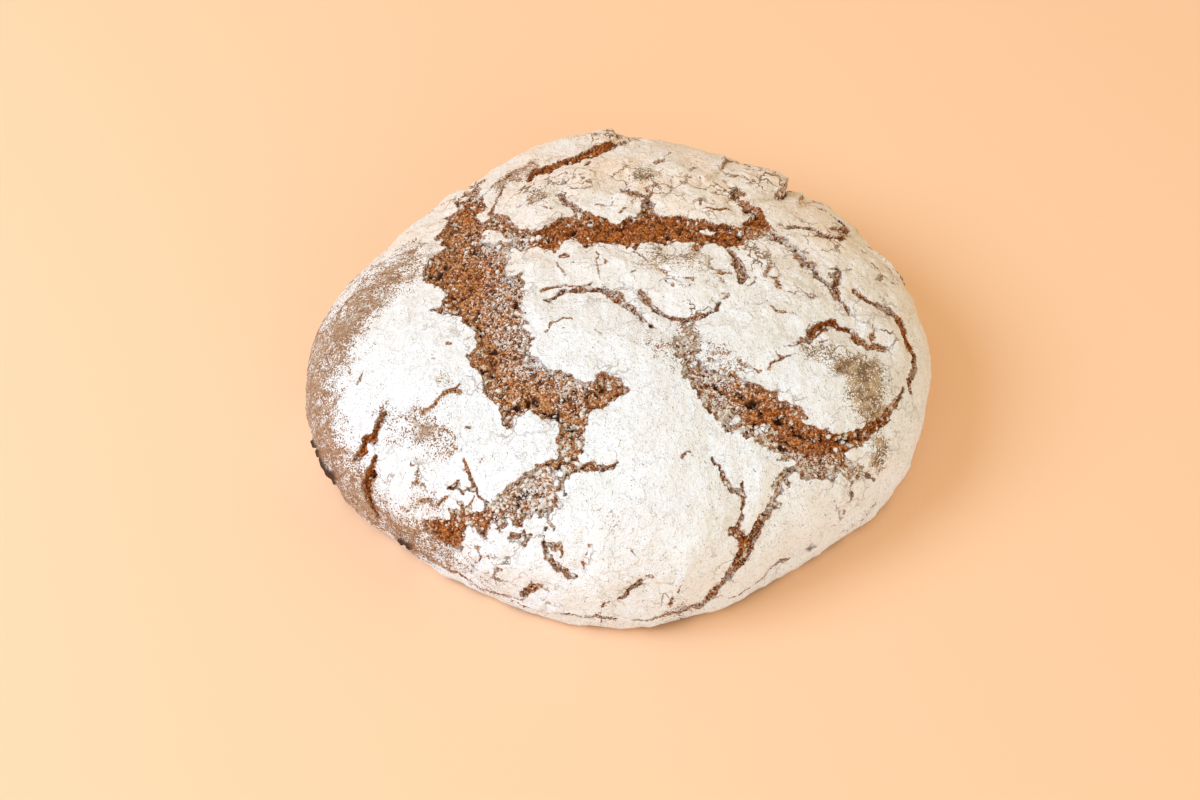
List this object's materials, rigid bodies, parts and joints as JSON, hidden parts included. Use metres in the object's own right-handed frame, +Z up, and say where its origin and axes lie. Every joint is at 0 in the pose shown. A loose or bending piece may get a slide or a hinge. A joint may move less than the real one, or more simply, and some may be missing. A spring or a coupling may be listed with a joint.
{
  "type": "rye bread loaf",
  "caption": "Round free-standing farmhouse rye loaf: a domed, floured crust torn by deep branching rifts, on a flat baked base.",
  "frame": {"origin": "centre of the loaf's bounding box, on the flat base that it rests on", "axes": "+Z up through the dome, +X along the loaf's longest side, +Y away from the side that is seen most"},
  "size_m": [0.2638, 0.2504, 0.078],
  "materials": {
    "floured_crust": "dry baked crust thickly dusted with flour, dull"
  },
  "bodies": {
    "root": {"loaf": "floured_crust"}
  },
  "joints": []
}
